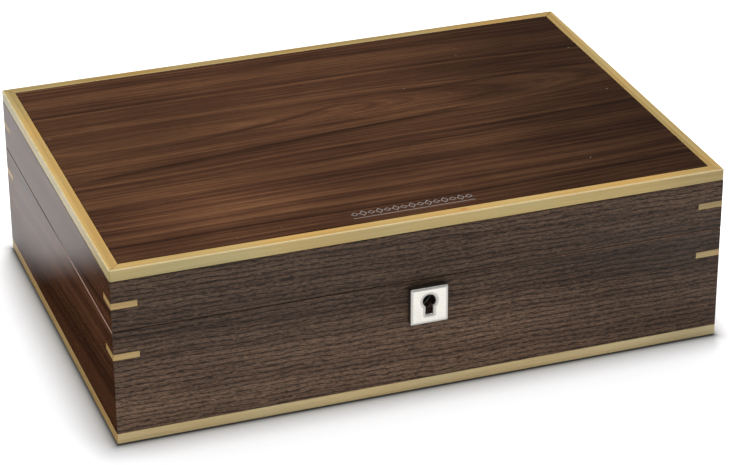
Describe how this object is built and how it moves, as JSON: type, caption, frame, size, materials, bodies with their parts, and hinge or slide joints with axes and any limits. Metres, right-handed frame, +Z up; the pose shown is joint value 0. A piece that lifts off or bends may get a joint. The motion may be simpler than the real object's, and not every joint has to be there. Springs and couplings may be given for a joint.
{
  "type": "watch box",
  "caption": "Rectangular hinged watch box in dark walnut with maple edging and corner splines, a square keyhole plate, a front lock, and a lined tray of compartments with pillows.",
  "frame": {"origin": "the middle of the box's underside, on the surface it stands on", "axes": "+X along the box's width to the viewer's right, +Y from the keyhole side to the hinge side, +Z up"},
  "size_m": [0.33, 0.237, 0.0986],
  "materials": {
    "walnut": "dark open-pored walnut under a thin satin lacquer",
    "figured_walnut": "figured walnut veneer, satin lacquered",
    "maple": "pale golden maple, satin lacquered",
    "satin_nickel": "fine satin nickel plate",
    "lock_steel": "plain rolled steel",
    "lining_suede": "short-napped microfibre suede",
    "pillow_suede": "short-napped microfibre suede over foam, stitched",
    "baize": "dark brown felted baize"
  },
  "bodies": {
    "base": {"base_front_wall": "walnut", "base_right_wall": "walnut", "base_back_wall": "walnut", "base_left_wall": "walnut", "base_front_band": "maple", "base_right_band": "maple", "base_back_band": "maple", "base_left_band": "maple", "floor_panel": "walnut", "base_baize": "baize", "base_spline_front_left": "maple", "base_spline_front_right": "maple", "base_spline_back_right": "maple", "base_spline_back_left": "maple", "hinge_left_base_leaf": "satin_nickel", "hinge_left_pin": "satin_nickel", "hinge_right_base_leaf": "satin_nickel", "hinge_right_pin": "satin_nickel", "escutcheon": "satin_nickel", "lock_backplate": "lock_steel", "lock_case": "lock_steel", "lock_spring": "lock_steel", "lock_screw_left": "lock_steel", "lock_screw_right": "lock_steel", "liner_tray": "lining_suede", "long_divider": "lining_suede", "cross_divider_1": "lining_suede", "cross_divider_2": "lining_suede", "cross_divider_3": "lining_suede", "cross_divider_4": "lining_suede"},
    "lid": {"lid_front_wall": "walnut", "lid_right_wall": "walnut", "lid_back_wall": "walnut", "lid_left_wall": "walnut", "lid_front_edging": "maple", "lid_right_edging": "maple", "lid_back_edging": "maple", "lid_left_edging": "maple", "lid_top_panel": "figured_walnut", "lid_pad": "lining_suede", "lid_spline_front_left": "maple", "lid_spline_front_right": "maple", "lid_spline_back_right": "maple", "lid_spline_back_left": "maple", "hinge_left_lid_leaf": "satin_nickel", "hinge_right_lid_leaf": "satin_nickel", "strike_plate": "satin_nickel", "strike_screw_left": "lock_steel", "strike_screw_right": "lock_steel"},
    "bolt": {"lock_bolt": "satin_nickel"},
    "pillow_front_1": {"pillow_front_1": "pillow_suede"},
    "pillow_front_2": {"pillow_front_2": "pillow_suede"},
    "pillow_front_3": {"pillow_front_3": "pillow_suede"},
    "pillow_front_4": {"pillow_front_4": "pillow_suede"},
    "pillow_front_5": {"pillow_front_5": "pillow_suede"},
    "pillow_back_1": {"pillow_back_1": "pillow_suede"},
    "pillow_back_2": {"pillow_back_2": "pillow_suede"},
    "pillow_back_3": {"pillow_back_3": "pillow_suede"},
    "pillow_back_4": {"pillow_back_4": "pillow_suede"},
    "pillow_back_5": {"pillow_back_5": "pillow_suede"}
  },
  "joints": [
    {"name": "lid_hinge", "type": "hinge", "parent": "base", "child": "lid", "pos_m": [0, 0.1146, 0.0644], "axis": [-1, 0, 0], "range_deg": [0, 95]},
    {"name": "bolt_throw", "type": "slide", "parent": "base", "child": "bolt", "axis": [-1, 0, 0], "range_m": [0, 0.005]},
    {"name": "pillow_front_1_lift", "type": "slide", "parent": "base", "child": "pillow_front_1", "axis": [0, 0, 1], "range_m": [0, 0.035]},
    {"name": "pillow_front_2_lift", "type": "slide", "parent": "base", "child": "pillow_front_2", "axis": [0, 0, 1], "range_m": [0, 0.035]},
    {"name": "pillow_front_3_lift", "type": "slide", "parent": "base", "child": "pillow_front_3", "axis": [0, 0, 1], "range_m": [0, 0.035]},
    {"name": "pillow_front_4_lift", "type": "slide", "parent": "base", "child": "pillow_front_4", "axis": [0, 0, 1], "range_m": [0, 0.035]},
    {"name": "pillow_front_5_lift", "type": "slide", "parent": "base", "child": "pillow_front_5", "axis": [0, 0, 1], "range_m": [0, 0.035]},
    {"name": "pillow_back_1_lift", "type": "slide", "parent": "base", "child": "pillow_back_1", "axis": [0, 0, 1], "range_m": [0, 0.035]},
    {"name": "pillow_back_2_lift", "type": "slide", "parent": "base", "child": "pillow_back_2", "axis": [0, 0, 1], "range_m": [0, 0.035]},
    {"name": "pillow_back_3_lift", "type": "slide", "parent": "base", "child": "pillow_back_3", "axis": [0, 0, 1], "range_m": [0, 0.035]},
    {"name": "pillow_back_4_lift", "type": "slide", "parent": "base", "child": "pillow_back_4", "axis": [0, 0, 1], "range_m": [0, 0.035]},
    {"name": "pillow_back_5_lift", "type": "slide", "parent": "base", "child": "pillow_back_5", "axis": [0, 0, 1], "range_m": [0, 0.035]}
  ]
}
